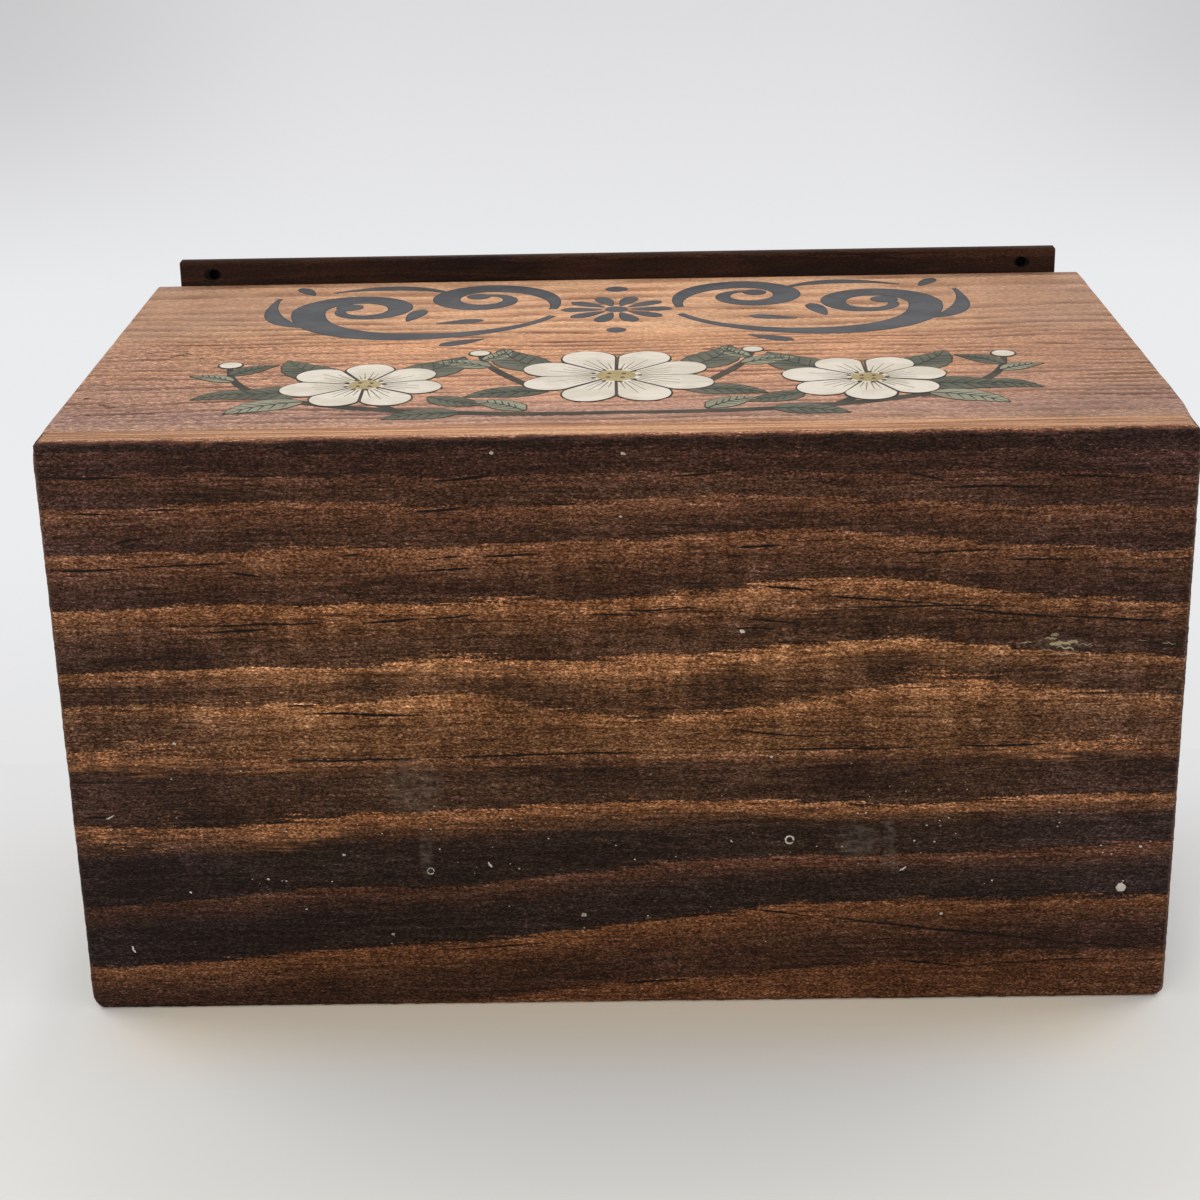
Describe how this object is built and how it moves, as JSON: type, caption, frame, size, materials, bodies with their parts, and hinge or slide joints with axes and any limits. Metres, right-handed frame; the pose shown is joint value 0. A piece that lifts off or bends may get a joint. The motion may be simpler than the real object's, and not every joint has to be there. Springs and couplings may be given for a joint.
{
  "type": "recipe card box",
  "caption": "Wooden recipe card box with rabbeted walls, a bottom board, an overhanging flat lid on small recessed brass hinges, and a painted front panel.",
  "frame": {"origin": "centre of the back panel's outer face plane under the whole box, which lies on its back as in the picture", "axes": "+X to the right across the decorated front panel, +Y from the bottom board to the lid, +Z out of the front panel"},
  "size_m": [0.16, 0.1058, 0.092],
  "materials": {
    "dark_stained_wood": "dark walnut stain, worn satin",
    "light_wood": "clear satin over reddish tan wood, with painted decoration",
    "brass": "aged, dull",
    "steel": "dark, oxidised"
  },
  "bodies": {
    "box": {"front_panel": "light_wood", "back_panel": "dark_stained_wood", "left_side": "dark_stained_wood", "right_side": "dark_stained_wood", "bottom_board": "dark_stained_wood", "left_hinge_box_leaf": "brass", "left_hinge_pin": "brass", "right_hinge_box_leaf": "brass", "right_hinge_pin": "brass", "box_hinge_screws": "brass", "back_brads": "steel"},
    "lid": {"lid": "dark_stained_wood", "left_hinge_lid_leaf": "brass", "right_hinge_lid_leaf": "brass", "lid_hinge_screws": "brass"}
  },
  "joints": [
    {"name": "lid_hinge", "type": "hinge", "parent": "box", "child": "lid", "pos_m": [0, 0.04325, 0.00175], "axis": [-1, 0, 0], "range_deg": [0, 105]}
  ]
}
